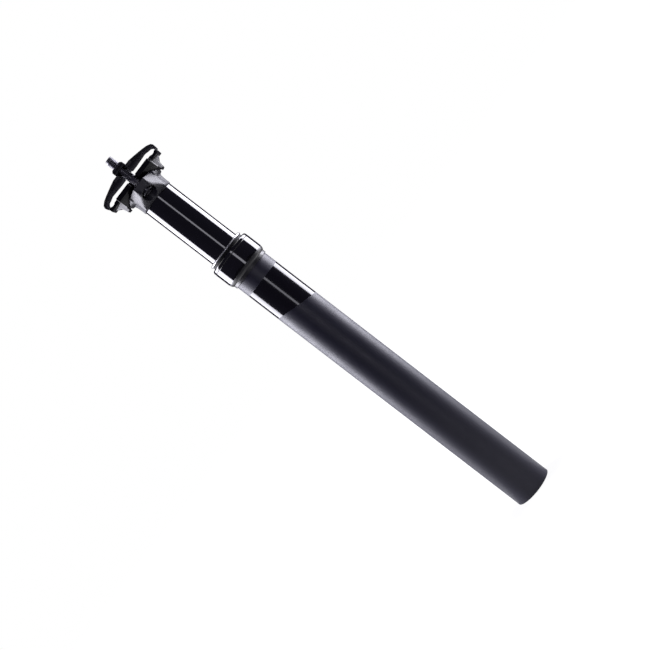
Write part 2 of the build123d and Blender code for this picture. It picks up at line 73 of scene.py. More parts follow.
# Backdrop: white paper to the camera. Polished metal sees its two lit halves, past the dark gap
# right behind the post. Everything else sees a dim room, so that black metal keeps its depth.
VIEW_TURN = 1.3               # the camera's side, in degrees from the front towards +X
SWEEP_STARTS = (100.0, 97.0)  # each lit half, right and left, in degrees from the camera's side
SWEEP_END = 135.0
ROOM_STRENGTH = 0.062
ROOM_TINT = "#d6ceff"
FLOOR_DROP = 0.1              # keeps the floor just clear of the tube's foot
FLOOR_HALF = 3000.0
FLOOR_GREY = "#707070"        # kept low, so that the floor throws little light up at the post
PAINTED_POOL_RADIUS = 300.0           # radius of a painted pool of light on the floor round the post, seen only in reflections
PAINTED_POOL_STRENGTH = 0.25
PAINTED_SWEEP_STRENGTH = 1.0          # painted light on the floor below each softbox, seen only in reflections
SHADOW_REACH = (16.0, 60.0)   # the floor's glow fades in over this range, so the post's shadow shows
SHADOW_GLOW = 0.9


def add(tree, kind, settings=None, links=None):
    """Adds one node. Settings are values for its inputs or attributes. Links are what feeds its inputs:
    an output socket, or a node whose first output is meant."""
    node = tree.nodes.new(kind)
    for key, value in (settings or {}).items():
        if isinstance(key, int) or key in node.inputs:
            node.inputs[key].default_value = value
        else:
            setattr(node, key, value)
    for key, source in (links or {}).items():
        socket = source.outputs[0] if isinstance(source, bpy.types.Node) else source
        tree.links.new(socket, node.inputs[key])
    return node


def linear(code):
    """An sRGB hex colour as the linear values that a shader takes."""
    channels = [int(code[i:i + 2], 16) / 255 for i in (1, 3, 5)]
    return [c / 12.92 if c <= 0.04045 else ((c + 0.055) / 1.055) ** 2.4 for c in channels] + [1.0]


def in_sweeps(tree, direction):
    """A node that gives 1 where a direction from the post is in one of the two lit halves, else 0."""
    ways = add(tree, "ShaderNodeSeparateXYZ", {}, {"Vector": direction})
    frontward = add(tree, "ShaderNodeMath", {"operation": "MULTIPLY", 1: -1.0}, {0: ways.outputs["Y"]})
    turn = add(tree, "ShaderNodeMath", {"operation": "ARCTAN2"}, {0: ways.outputs["X"], 1: frontward})
    from_camera = add(tree, "ShaderNodeMath", {"operation": "SUBTRACT", 1: math.radians(VIEW_TURN)}, {0: turn})
    halves = []
    for side, start in zip((1.0, -1.0), SWEEP_STARTS):
        aside = add(tree, "ShaderNodeMath", {"operation": "MULTIPLY", 1: side}, {0: from_camera})
        past = add(tree, "ShaderNodeMath", {"operation": "GREATER_THAN", 1: math.radians(start)}, {0: aside})
        short = add(tree, "ShaderNodeMath", {"operation": "LESS_THAN", 1: math.radians(SWEEP_END)}, {0: aside})
        halves.append(add(tree, "ShaderNodeMath", {"operation": "MULTIPLY"}, {0: past, 1: short}))
    return add(tree, "ShaderNodeMath", {"operation": "ADD"}, {0: halves[0], 1: halves[1]})


def mirrored_rays(tree, rays):
    """A node that gives 1 for a ray that left a polished or clear surface, else 0."""
    return add(tree, "ShaderNodeMath", {"operation": "MAXIMUM"},
               {0: rays.outputs["Is Glossy Ray"], 1: rays.outputs["Is Transmission Ray"]})


world = bpy.data.worlds.new("studio")
bpy.context.scene.world = world
world.use_nodes = True
tree = world.node_tree
tree.nodes.clear()
rays = add(tree, "ShaderNodeLightPath")
lit_half = in_sweeps(tree, add(tree, "ShaderNodeTexCoord").outputs["Generated"])
mirrored = add(tree, "ShaderNodeMath", {"operation": "MULTIPLY"}, {0: mirrored_rays(tree, rays), 1: lit_half})
seen = add(tree, "ShaderNodeMath", {"operation": "MAXIMUM"}, {0: rays.outputs["Is Camera Ray"], 1: mirrored})
room = add(tree, "ShaderNodeBackground", {"Color": linear(ROOM_TINT), "Strength": ROOM_STRENGTH})
white = add(tree, "ShaderNodeBackground", {"Color": linear("#ffffff"), "Strength": 1.0})
pick = add(tree, "ShaderNodeMixShader", {}, {"Fac": seen, 1: room, 2: white})
add(tree, "ShaderNodeOutputWorld", {}, {"Surface": pick})

floor_mesh = bpy.data.meshes.new("floor")
floor_mesh.from_pydata([(x * FLOOR_HALF * MM, y * FLOOR_HALF * MM, -FLOOR_DROP * MM)
                        for x, y in ((-1, -1), (1, -1), (1, 1), (-1, 1))], [], [(0, 1, 2, 3)])
floor = bpy.data.objects.new("floor", floor_mesh)
bpy.context.scene.collection.objects.link(floor)
card = bpy.data.materials.new("pale_card")
card.use_nodes = True
tree = card.node_tree
tree.nodes.clear()
rays = add(tree, "ShaderNodeLightPath")
matt = add(tree, "ShaderNodeBsdfDiffuse", {"Color": linear(FLOOR_GREY)})
spot = add(tree, "ShaderNodeTexCoord").outputs["Object"]
from_post = add(tree, "ShaderNodeVectorMath", {"operation": "LENGTH"}, {0: spot}).outputs["Value"]
# Painted light: the floor glows for reflected rays only, in a painted pool round the post and painted lit patches
# below each softbox.
in_painted_pool = add(tree, "ShaderNodeMath", {"operation": "LESS_THAN", 1: PAINTED_POOL_RADIUS * MM}, {0: from_post})
painted_pool = add(tree, "ShaderNodeMath", {"operation": "MULTIPLY", 1: PAINTED_POOL_STRENGTH}, {0: in_painted_pool})
painted_sweep = add(tree, "ShaderNodeMath", {"operation": "MULTIPLY", 1: PAINTED_SWEEP_STRENGTH}, {0: in_sweeps(tree, spot)})
painted_floor_light = add(tree, "ShaderNodeMath", {"operation": "MAXIMUM"}, {0: painted_pool, 1: painted_sweep})
mirrored = add(tree, "ShaderNodeMath", {"operation": "MULTIPLY"}, {0: mirrored_rays(tree, rays), 1: painted_floor_light})
paper = add(tree, "ShaderNodeMapRange", {"interpolation_type": "SMOOTHSTEP", "To Min": SHADOW_GLOW, "To Max": 1.0,
                                         "From Min": SHADOW_REACH[0] * MM, "From Max": SHADOW_REACH[1] * MM},
            {"Value": from_post})
seen = add(tree, "ShaderNodeMath", {"operation": "MULTIPLY"}, {0: rays.outputs["Is Camera Ray"], 1: paper})
glow = add(tree, "ShaderNodeEmission", {"Color": linear("#ffffff")},
           {"Strength": add(tree, "ShaderNodeMath", {"operation": "MAXIMUM"}, {0: seen, 1: mirrored})})
lit = add(tree, "ShaderNodeAddShader", {}, {0: matt, 1: glow})
add(tree, "ShaderNodeOutputMaterial", {}, {"Surface": lit})
floor_mesh.materials.append(card)


# Studio light. Two tall softboxes stand beside and behind the post and draw its bright edges. A
# narrow strip beside the camera draws the fine line along the polished tube.
SOFTBOX_RADIANCE = 7.6
SOFTBOX_DISTANCE = 1.3        # metres, as the lamps' other sizes are
SOFTBOX_HEIGHT = 2.6
STRIP_RADIANCE = 2.0
STRIP_EDGES = (5.0, 14.0)     # degrees from the camera's side
STRIP_DISTANCE = 1.6
STRIP_HEIGHT = 2.2
LAMP_MIDDLE = 0.2             # height of each lamp's middle
LAMP_TINT = "#f4f3ff"


def softbox(name, first_deg, last_deg, distance, height, radiance):
    """A tall panel facing the post. Its edges are at these turns from the camera's side, +X positive."""
    ends = [Vector((math.sin(a), -math.cos(a), 0)) * distance
            for a in (math.radians(first_deg + VIEW_TURN), math.radians(last_deg + VIEW_TURN))]
    middle = (ends[0] + ends[1]) / 2
    width = (ends[1] - ends[0]).length
    data = bpy.data.lights.new(name, "AREA")
    data.shape = "RECTANGLE"
    data.size = width
    data.size_y = height
    data.energy = radiance * math.pi * width * height
    data.color = linear(LAMP_TINT)[:3]
    lamp = bpy.data.objects.new(name, data)
    bpy.context.scene.collection.objects.link(lamp)
    outward = middle.normalized()
    side = Vector((0, 0, 1)).cross(outward).normalized()
    basis = Matrix((side, outward.cross(side), outward)).transposed()
    lamp.matrix_world = Matrix.Translation(middle + Vector((0, 0, LAMP_MIDDLE))) @ basis.to_4x4()


softbox("right_softbox", SWEEP_STARTS[0], SWEEP_END, SOFTBOX_DISTANCE, SOFTBOX_HEIGHT, SOFTBOX_RADIANCE)
softbox("left_softbox", -SWEEP_STARTS[1], -SWEEP_END, SOFTBOX_DISTANCE, SOFTBOX_HEIGHT, SOFTBOX_RADIANCE)
softbox("front_strip", *STRIP_EDGES, STRIP_DISTANCE, STRIP_HEIGHT, STRIP_RADIANCE)


# Lower tube: drawn aluminium, bead blasted and anodised matte black, with a polished panel below
# the collar whose lower edge is cut at a slant. The panel is bare.
TUBE_RADIUS = 15.45
TUBE_BORE = 13.75
TUBE_TOP = 262.0
THREAD_RADIUS = 15.1
THREAD_BOTTOM = 247.6
BUSHING_SEAT = 14.25          # radius of the counterbore that holds the upper bushing
BUSHING_FOOT = 240.0
PANEL_TOP = 237.5
PANEL_BOTTOM = 207.8
PANEL_SLOPE = 0.298           # rise of the panel's lower edge for each millimetre towards +X
ROUND_STEPS = 240             # faces round a large turned piece
CLOUD_MM = 9.0                # size of the faint clouds in an anodised skin's gloss
GRAIN_DEPTH = 0.05            # height of the grain that a relief of 1 would draw


def lathe(name, outline, steps=ROUND_STEPS, place=Matrix()):
    """A closed outline turned about the post's axis, in millimetres, then set in its place.

    Each point is (radius, height), or (half width, height, 6) where the section is a hexagon."""
    places = []
    for i in range(steps):
        angle = 2 * math.pi * i / steps
        for radius, height, *sides in outline:
            if sides:
                step = 2 * math.pi / sides[0]
                radius /= math.cos((angle + step / 2) % step - step / 2)
            places.append(place @ Vector((radius * math.cos(angle), radius * math.sin(angle), height)) * MM)
    count = len(outline)
    faces = [(i * count + j, (i + 1) % steps * count + j, (i + 1) % steps * count + (j + 1) % count,
              i * count + (j + 1) % count) for i in range(steps) for j in range(count)]
    mesh = bpy.data.meshes.new(name)
    mesh.from_pydata(places, [], faces)
    shape = bmesh.new()
    shape.from_mesh(mesh)
    bmesh.ops.remove_doubles(shape, verts=shape.verts, dist=1e-7)
    bmesh.ops.recalc_face_normals(shape, faces=shape.faces)
    shape.to_mesh(mesh)
    shape.free()
    return mesh


def plain_mesh(piece, name):
    """The piece's mesh with its modifiers applied, as new data."""
    depsgraph = bpy.context.evaluated_depsgraph_get()
    mesh = bpy.data.meshes.new_from_object(piece.evaluated_get(depsgraph))
    mesh.name = name
    return mesh


def finished(mesh, body, replaced, material, edge=0.0, edge_angle=35):
    """Makes a mesh a piece of the part: eases its edges, gives it its finish and hands it to the frame."""
    name = mesh.name
    piece = bpy.data.objects.new(name, mesh)
    bpy.context.scene.collection.objects.link(piece)
    if edge:
        easer = piece.modifiers.new("eased_edges", "BEVEL")
        easer.width = edge * MM
        easer.segments = 3
        easer.limit_method = "ANGLE"
        easer.angle_limit = math.radians(edge_angle)
        eased = plain_mesh(piece, name + "_eased")
        piece.modifiers.clear()
        piece.data = eased
    for polygon in piece.data.polygons:
        polygon.use_smooth = True
    piece.data.materials.clear()
    piece.data.materials.append(material)
    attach(piece, body)
    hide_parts(*replaced)
    return piece


def anodised(name, colour, roughness, grain_mm, relief, lacquer=0.0, ior=1.76):
    """Black anodised aluminium. Its skin is aluminium oxide, so it has the gloss of a clear stone over
    dye, with the grain of the metal under it and slight clouds in its gloss from handling.

    The real grain is about 0.1 mm, too fine to show, so it is drawn 0.25 to 0.5 mm wide."""
    material = bpy.data.materials.new(name)
    material.use_nodes = True
    tree = material.node_tree
    tree.nodes.clear()
    place = add(tree, "ShaderNodeTexCoord").outputs["Object"]
    grain = add(tree, "ShaderNodeTexNoise", {"Scale": 1 / (grain_mm * MM), "Detail": 3.0}, {"Vector": place})
    clouds = add(tree, "ShaderNodeTexNoise", {"Scale": 1 / (CLOUD_MM * MM), "Detail": 2.0}, {"Vector": place})
    gloss = add(tree, "ShaderNodeMapRange", {"To Min": roughness * 0.85, "To Max": roughness * 1.15},
                {"Value": clouds.outputs["Fac"]})
    bump = add(tree, "ShaderNodeBump", {"Strength": relief, "Distance": GRAIN_DEPTH * MM},
               {"Height": grain.outputs["Fac"]})
    skin = add(tree, "ShaderNodeBsdfPrincipled",
               {"Base Color": linear(colour), "IOR": ior, "Coat Weight": lacquer, "Coat Roughness": 0.05},
               {"Roughness": gloss, "Normal": bump})
    add(tree, "ShaderNodeOutputMaterial", {}, {"Surface": skin})
    return material


def masked(material, inside, roughness, relief, colour):
    """Gives a material another roughness, relief and colour where inside is 1, with a sharp edge such as masking
    leaves. The colour is a real finish or painted shade, as each use says.
    """
    tree = material.node_tree
    skin = next(n for n in tree.nodes if n.type == "BSDF_PRINCIPLED")
    bump = next(n for n in tree.nodes if n.type == "BUMP")
    gloss = add(tree, "ShaderNodeMix", {"data_type": "FLOAT", 3: roughness},
                {0: inside, 2: skin.inputs["Roughness"].links[0].from_socket})
    tree.links.new(gloss.outputs[0], skin.inputs["Roughness"])
    depth = add(tree, "ShaderNodeMix", {"data_type": "FLOAT", 2: bump.inputs["Strength"].default_value, 3: relief},
                {0: inside})
    tree.links.new(depth.outputs[0], bump.inputs["Strength"])
    tone = add(tree, "ShaderNodeMix", {"data_type": "RGBA", 6: list(skin.inputs["Base Color"].default_value),
                                       7: linear(colour)}, {0: inside})
    tree.links.new(tone.outputs[2], skin.inputs["Base Color"])


def place_parts(material):
    """The point on the piece, as separate X, Y and Z outputs."""
    tree = material.node_tree
    place = next(n for n in tree.nodes if n.type == "TEX_COORD").outputs["Object"]
    return add(tree, "ShaderNodeSeparateXYZ", {}, {"Vector": place}).outputs


# Bead blasted anodising scatters its reflections into a broad glow. The panel is masked from the
# beads, so it keeps the tube's polish and looks almost mirror black.
blasted = anodised("bead_blasted_black_anodising", "#23223a", 0.50, 0.25, 0.09)
tree = blasted.node_tree
parts = place_parts(blasted)
slant = add(tree, "ShaderNodeMath", {"operation": "MULTIPLY", 1: PANEL_SLOPE}, {0: parts["X"]})
slanted = add(tree, "ShaderNodeMath", {"operation": "ADD"}, {0: parts["Z"], 1: slant})
above = add(tree, "ShaderNodeMath", {"operation": "GREATER_THAN", 1: PANEL_BOTTOM * MM}, {0: slanted})
below = add(tree, "ShaderNodeMath", {"operation": "LESS_THAN", 1: PANEL_TOP * MM}, {0: parts["Z"]})
panel = add(tree, "ShaderNodeMath", {"operation": "MULTIPLY"}, {0: above, 1: below})
masked(blasted, panel, roughness=0.13, relief=0.02, colour="#0d0c12")

finished(lathe("lower_tube", [(TUBE_BORE, 0), (TUBE_RADIUS, 0), (TUBE_RADIUS, THREAD_BOTTOM),
                              (THREAD_RADIUS, THREAD_BOTTOM), (THREAD_RADIUS, TUBE_TOP), (BUSHING_SEAT, TUBE_TOP),
                              (BUSHING_SEAT, BUSHING_FOOT), (TUBE_BORE, BUSHING_FOOT)]),
         "lower_tube_group", ["outer_tube"], blasted, edge=0.3)


# Collar: turned aluminium, polished and anodised black, screwed over the tube's top. Its lip and
# the rounded step above it are left satin, and a fine groove sets off the bead round its top.
COLLAR_OUTLINE = [(15.1, 247.6), (16.2, 247.6), (16.2, 249.9), (16.65, 250.15), (17.05, 250.7), (17.4, 251.5),
                  (17.65, 252.4), (17.8, 253.6), (17.8, 264.6), (17.6, 264.75), (17.6, 264.95), (17.75, 265.1),
                  (17.75, 266.0), (17.55, 266.8), (17.1, 267.35), (16.5, 267.6), (15.0, 267.6), (15.0, 263.6),
                  (13.55, 263.6), (13.55, 262.0), (15.1, 262.0), (15.1, 256.5), (16.0, 256.5), (16.0, 255.0),
                  (15.1, 255.0)]
SATIN_TOP = 252.8             # the satin finish ends here, on the rounded step

# Polished anodising mirrors the softboxes sharply. The satin part blurs them to a grey band.
collar_black = anodised("collar_black_anodising", "#0c0b10", 0.08, 0.5, 0.02, ior=1.95)
satin = add(collar_black.node_tree, "ShaderNodeMath", {"operation": "LESS_THAN", 1: SATIN_TOP * MM},
            {0: place_parts(collar_black)["Z"]})
masked(collar_black, satin, roughness=0.38, relief=0.08, colour="#141318")
finished(lathe("collar_shell", COLLAR_OUTLINE), "lower_tube_group", ["collar"], collar_black,
         edge=0.25, edge_angle=25)


# Seals: moulded nitrile rubber. The sealing ring lies in the collar's groove, and the wiper is
# pressed into the collar's mouth with its thin lip showing above. A bright steel garter spring
# hugs the lip.
SMALL_STEPS = 96              # faces round a small or hidden turned piece
WAVE_TURNS = 20               # what a Wave texture multiplies its scale by, in radians
MARK_DEPTH = 0.03             # height of the tool marks that a relief of 1 would draw
WIPER_OUTLINE = [(13.3, 263.6), (15.0, 263.6), (15.0, 269.3), (15.35, 269.3), (15.35, 270.7), (15.05, 271.0),
                 (13.6, 271.0), (13.3, 270.6)]


def moulded(name, colour, roughness, grain_mm=0.4, relief=0.1):
    """A moulded plastic or rubber: soft gloss, with the grain of the mould, drawn coarser than it is."""
    material = bpy.data.materials.new(name)
    material.use_nodes = True
    tree = material.node_tree
    tree.nodes.clear()
    place = add(tree, "ShaderNodeTexCoord").outputs["Object"]
    grain = add(tree, "ShaderNodeTexNoise", {"Scale": 1 / (grain_mm * MM), "Detail": 2.0}, {"Vector": place})
    gloss = add(tree, "ShaderNodeMapRange", {"To Min": roughness * 0.85, "To Max": roughness * 1.15},
                {"Value": grain.outputs["Fac"]})
    bump = add(tree, "ShaderNodeBump", {"Strength": relief, "Distance": GRAIN_DEPTH * MM},
               {"Height": grain.outputs["Fac"]})
    skin = add(tree, "ShaderNodeBsdfPrincipled", {"Base Color": linear(colour)},
               {"Roughness": gloss, "Normal": bump})
    add(tree, "ShaderNodeOutputMaterial", {}, {"Surface": skin})
    return material


def steel(name, colour, roughness, mark_mm=1.885, relief=0.1):
    """Turned or ground steel and other bare metals, with tool marks that run round the piece.

    Real marks are about 0.1 mm apart, too fine to show, so they are drawn 0.6 to 2 mm apart."""
    material = bpy.data.materials.new(name)
    material.use_nodes = True
    tree = material.node_tree
    tree.nodes.clear()
    place = add(tree, "ShaderNodeTexCoord").outputs["Object"]
    marks = add(tree, "ShaderNodeTexWave", {"bands_direction": "Z", "Scale": math.tau / (WAVE_TURNS * mark_mm * MM),
                                            "Distortion": 1.5, "Detail": 2.0}, {"Vector": place})
    gloss = add(tree, "ShaderNodeMapRange", {"To Min": roughness * 0.8, "To Max": roughness * 1.2},
                {"Value": marks.outputs["Fac"]})
    bump = add(tree, "ShaderNodeBump", {"Strength": relief, "Distance": MARK_DEPTH * MM},
               {"Height": marks.outputs["Fac"]})
    skin = add(tree, "ShaderNodeBsdfPrincipled", {"Base Color": linear(colour), "Metallic": 1.0},
               {"Roughness": gloss, "Normal": bump})
    add(tree, "ShaderNodeOutputMaterial", {}, {"Surface": skin})
    return material


# Moulded nitrile rubber: a dull black, with the soft grain of its mould.
nitrile = moulded("nitrile_rubber", "#131218", 0.60)
finished(lathe("wiper_ring", WIPER_OUTLINE), "lower_tube_group", ["wiper_seal"], nitrile,
         edge=0.15)
GARTER_RADIUS = 15.3          # a round steel spring that holds the lip on the tube
GARTER_HEIGHT = 270.0
GARTER_WIRE = 0.5
GARTER_SIDES = 12
wire = [(GARTER_RADIUS + GARTER_WIRE * math.cos(turn), GARTER_HEIGHT + GARTER_WIRE * math.sin(turn))
        for turn in (math.tau * i / GARTER_SIDES for i in range(GARTER_SIDES))]
# Ground steel: bright, and just rough enough to catch the light all round as one thin line.
ground_steel = steel("ground_steel", "#eeeef0", 0.34, mark_mm=0.6283, relief=0.03)
finished(lathe("wiper_garter_spring", wire), "lower_tube_group", [], ground_steel)
finished(lathe("sealing_ring", [(15.1, 255.3), (15.4, 255.0), (15.7, 255.0), (16.0, 255.3), (16.0, 256.2),
                                (15.7, 256.5), (15.4, 256.5), (15.1, 256.2)], SMALL_STEPS),
         "lower_tube_group", ["collar_o_ring"], nitrile)


# Upper tube: ground and polished aluminium, anodised gloss black, that slides in the collar. Its
# foot is necked for the lower bushing.
STANCHION_RADIUS = 13.25
STANCHION_BORE = 11.25
STANCHION_FOOT = 90.0
STANCHION_TOP = 329.0
NECK_RADIUS = 12.75
NECK_TOP = 112.0

# Polished anodising under a thin clear sealer: black, with hard bright lines where it sees the lamps.
polished = anodised("polished_black_anodising", "#0c0b10", 0.09, 0.5, 0.02, lacquer=0.6)
finished(lathe("upper_tube", [(STANCHION_BORE, STANCHION_FOOT), (NECK_RADIUS, STANCHION_FOOT), (NECK_RADIUS, NECK_TOP),
                              (STANCHION_RADIUS, NECK_TOP), (STANCHION_RADIUS, STANCHION_TOP),
                              (STANCHION_BORE, STANCHION_TOP)]),
         "upper_tube_group", ["stanchion_tube"], polished, edge=0.12)


# Head: forged aluminium, tumbled and anodised satin black, with the softened edges that forging
# leaves. It is pressed into the upper tube and carries both bolt ears.
def softened(node, name, voxel_mm, rounds, flowing=None, more_rounds=0):
    """A CAD node's shape as one fine even mesh, its edges eased as forging and tumbling leave them.

    Where flowing says so of a point and its normal, more rounds turn flat faces into one smooth form."""
    mesh = nodes[node].data.copy()
    mesh.materials.clear()
    shape = bmesh.new()
    shape.from_mesh(mesh)
    bmesh.ops.remove_doubles(shape, verts=shape.verts, dist=1e-6)
    shape.to_mesh(mesh)
    shape.free()
    rough = bpy.data.objects.new(name, mesh)
    bpy.context.scene.collection.objects.link(rough)
    evener = rough.modifiers.new("even_mesh", "REMESH")
    evener.mode = "VOXEL"
    evener.voxel_size = voxel_mm * MM
    easer = rough.modifiers.new("eased_edges", "SMOOTH")
    easer.factor = 0.5
    easer.iterations = rounds
    result = plain_mesh(rough, name)
    bpy.data.objects.remove(rough)
    shape = bmesh.new()
    shape.from_mesh(result)
    shape.normal_update()
    chosen = [v for v in shape.verts if flowing and flowing(v.co / MM, v.normal)]
    for _ in range(more_rounds):
        bmesh.ops.smooth_vert(shape, verts=chosen, factor=0.5, use_axis_x=True, use_axis_y=True, use_axis_z=True)
    shape.to_mesh(result)
    shape.free()
    return result


def outer_flank(point, normal):
    """True on the head's outside below its ears, away from the two bolts' recesses."""
    from_bolt = math.hypot(point.x, abs(point.y) - RECESS_REACH - (RECESS_MIDDLE - point.z) * RECESS_SLOPE)
    outward = normal.x * point.x + normal.y * point.y > 0
    return outward and FLANK_BOTTOM < point.z < FLANK_TOP and from_bolt > RECESS_CLEAR


FLANK_BOTTOM = 330.0
FLANK_TOP = 341.0
RECESS_MIDDLE = 335.2         # height at which a recess's centre stands at its reach from the post's axis
RECESS_REACH = 18.7
RECESS_SLOPE = 0.185
RECESS_CLEAR = 6.6

# Forged and tumbled anodising: satin, so its flanks turn light grey where they face a softbox.
forged = anodised("forged_satin_black_anodising", "#2b2a35", 0.47, 0.35, 0.1)
head = softened("post_head", "forged_head", voxel_mm=0.35, rounds=12, flowing=outer_flank, more_rounds=80)
finished(head, "upper_tube_group", ["post_head"], forged)


# Rail clamps: cut from extruded aluminium bar and anodised black. The lower one rocks in the
# head's cradle, and its cheeks hang beside it. The upper one bows over the saddle's rails.
END_FACING = 0.85             # a face is a cut end where its normal runs along the bar at least this much
BOW_FACING = 0.6              # and is on the bowed top where its normal points up at least this much

# Bright dipped anodising has a soft sheen, and its milled ends are smoother, with a darker colour that is painted
# shade. Tumbled anodising is duller and a little greyer.
dipped = anodised("bright_dipped_black_anodising", "#0b0a0f", 0.30, 0.3, 0.08, ior=1.55)
tree = dipped.node_tree
facing = add(tree, "ShaderNodeSeparateXYZ", {}, {"Vector": add(tree, "ShaderNodeNewGeometry").outputs["Normal"]})
along = add(tree, "ShaderNodeMath", {"operation": "ABSOLUTE"}, {0: facing.outputs["Y"]})
cut_ends_painted_shade = add(tree, "ShaderNodeMath", {"operation": "GREATER_THAN", 1: END_FACING}, {0: along})
# The cut ends, facing the front and the back, get a darker colour as painted shade, and a lower roughness as their
# milled finish.
masked(dipped, cut_ends_painted_shade, roughness=0.10, relief=0.02, colour="#060508")
tumbled = anodised("tumbled_black_anodising", "#18171d", 0.35, 0.3, 0.1, ior=1.55)
lower_clamp = softened("lower_clamp", "lower_rail_clamp", voxel_mm=0.3, rounds=6)
finished(lower_clamp, "lower_clamp_group", ["lower_clamp"], dipped)
upper_clamp = softened("upper_clamp", "upper_rail_clamp", voxel_mm=0.25, rounds=6,
                       flowing=lambda point, normal: normal.z > BOW_FACING, more_rounds=120)
finished(upper_clamp, "upper_clamp_group", ["upper_clamp"], tumbled)


# Barrel nuts: half-round steel bars, tapped across and oxidised black, that roll in the upper
# clamp's two hollows as it tilts.

# Black oxide still wet with oil is darker and glossier than when it has dried.
nut_black = steel("oiled_black_oxide_steel", "#3a393f", 0.30)
for side in ("front", "rear"):
    nut = softened(f"{side}_nut", f"{side}_barrel_nut", voxel_mm=0.15, rounds=6)
    finished(nut, f"{side}_nut_group", [f"{side}_nut"], nut_black)


# Clamp bolts: M6 socket head screws, oxidised black, with a rolled thread of 1 mm pitch and a 4 mm
# hexagon socket. They lean out at the foot and turn on domed washers in the ears.
BOLT_SPLAY = 10.5             # degrees
BOLT_SEAT_DEPTH = 22.81       # below the nut's centre
NUT_OFFSET = 13.5
TILT_HEIGHT = 363.2
THREAD_PITCH = 1.0
THREAD_CORE = 2.5
THREAD_CREST = 2.98
THREAD_START = 9.0            # plain shank above the seat
THREAD_RUN_OUT = 0.6          # length over which the shank tapers to the thread's core
THREAD_SIDES = 24             # faces round one turn of the thread
BOLT_STUBS = {"front": 6.4, "rear": 12.3}    # how far each stands out above its nut's centre
RECESS_SHADE_BELOW = 341.0            # below this, in the ears' recesses, the bolts are painted darker as painted shade, and are glossier

# Dry black oxide has a dark grey metal sheen.
oxidised = steel("black_oxide_steel", "#85848b", 0.37)
# The bolt heads in the ears' recesses get a darker colour: painted shade.
recess_shade = add(oxidised.node_tree, "ShaderNodeMath", {"operation": "LESS_THAN", 1: RECESS_SHADE_BELOW * MM},
           {0: place_parts(oxidised)["Z"]})
masked(oxidised, recess_shade, roughness=0.28, relief=0.05, colour="#5a595f")


def thread_tree():
    """Geometry nodes for a rolled thread: a helical ridge of diamond section."""
    tree = bpy.data.node_groups.new("rolled_thread", "GeometryNodeTree")
    face = tree.interface
    for label, kind in (("Turns", "NodeSocketFloat"), ("Pitch", "NodeSocketFloat"), ("Radius", "NodeSocketFloat"),
                        ("Ridge", "NodeSocketFloat"), ("Start", "NodeSocketFloat"),
                        ("Finish", "NodeSocketMaterial")):
        face.new_socket(label, in_out="INPUT", socket_type=kind)
    face.new_socket("Geometry", in_out="OUTPUT", socket_type="NodeSocketGeometry")
    sizes = add(tree, "NodeGroupInput")
    height = add(tree, "ShaderNodeMath", {"operation": "MULTIPLY"},
                 {0: sizes.outputs["Turns"], 1: sizes.outputs["Pitch"]})
    helix = add(tree, "GeometryNodeCurveSpiral", {"Resolution": THREAD_SIDES},
                {"Rotations": sizes.outputs["Turns"], "Start Radius": sizes.outputs["Radius"],
                 "End Radius": sizes.outputs["Radius"], "Height": height})
    upright = add(tree, "GeometryNodeSetCurveNormal", {"mode": "Z_UP"}, {"Curve": helix})
    section = add(tree, "GeometryNodeCurvePrimitiveCircle", {"Resolution": 4}, {"Radius": sizes.outputs["Ridge"]})
    ridge = add(tree, "GeometryNodeCurveToMesh", {"Fill Caps": True}, {"Curve": upright, "Profile Curve": section})
    lift = add(tree, "ShaderNodeCombineXYZ", {}, {"Z": sizes.outputs["Start"]})
    raised = add(tree, "GeometryNodeTransform", {}, {"Geometry": ridge, "Translation": lift})
    real = add(tree, "GeometryNodeRealizeInstances", {}, {"Geometry": raised})
    done = add(tree, "GeometryNodeSetMaterial", {}, {"Geometry": real, "Material": sizes.outputs["Finish"]})
    add(tree, "NodeGroupOutput", {}, {0: done})
    return tree


def grown(tree, name, sizes, mesh=None):
    """The mesh that a geometry node tree makes with these sizes, given by their names."""
    holder = bpy.data.objects.new(name, mesh or bpy.data.meshes.new(name))
    bpy.context.scene.collection.objects.link(holder)
    modifier = holder.modifiers.new(name, "NODES")
    modifier.node_group = tree
    for item in tree.interface.items_tree:
        if item.name in sizes and item.in_out == "INPUT":
            modifier[item.identifier] = sizes[item.name]
    result = plain_mesh(holder, name)
    bpy.data.objects.remove(holder)
    return result


rolled_thread = thread_tree()
slope = math.radians(BOLT_SPLAY)
for side, lean in (("front", -1), ("rear", 1)):
    seat = Vector((0, lean * (NUT_OFFSET + BOLT_SEAT_DEPTH * math.tan(slope)), TILT_HEIGHT - BOLT_SEAT_DEPTH))
    place = Matrix.Translation(seat) @ Matrix.Rotation(lean * slope, 4, "X")
    top = (BOLT_SEAT_DEPTH + BOLT_STUBS[side]) / math.cos(slope)
    bolt = lathe(f"{side}_clamp_bolt",
                 [(0.0001, -3.0), (2.0, -3.0, 6), (2.0, -5.2, 6), (2.3, -5.4), (4.2, -5.4), (4.6, -5.0), (4.6, -1.7),
                  (4.4, -1.4), (3.0, -1.4), (THREAD_CREST, THREAD_START), (THREAD_CORE, THREAD_START + THREAD_RUN_OUT),
                  (THREAD_CORE, top - 0.3), (THREAD_CORE - 0.5, top), (0.0001, top)], SMALL_STEPS, place)
    turns = (top - THREAD_START - 2 * THREAD_RUN_OUT) / THREAD_PITCH
    thread = grown(rolled_thread, f"{side}_thread",
                   {"Turns": turns, "Pitch": THREAD_PITCH * MM, "Radius": THREAD_CORE * MM,
                    "Ridge": (THREAD_CREST - THREAD_CORE) * MM, "Start": (THREAD_START + THREAD_RUN_OUT) * MM,
                    "Finish": oxidised})
    thread.transform(Matrix.Translation(seat * MM) @ Matrix.Rotation(lean * slope, 4, "X"))
    joined = bmesh.new()
    joined.from_mesh(bolt)
    joined.from_mesh(thread)
    joined.to_mesh(bolt)
    joined.free()
    finished(bolt, f"{side}_bolt_group", [f"{side}_bolt"], oxidised)


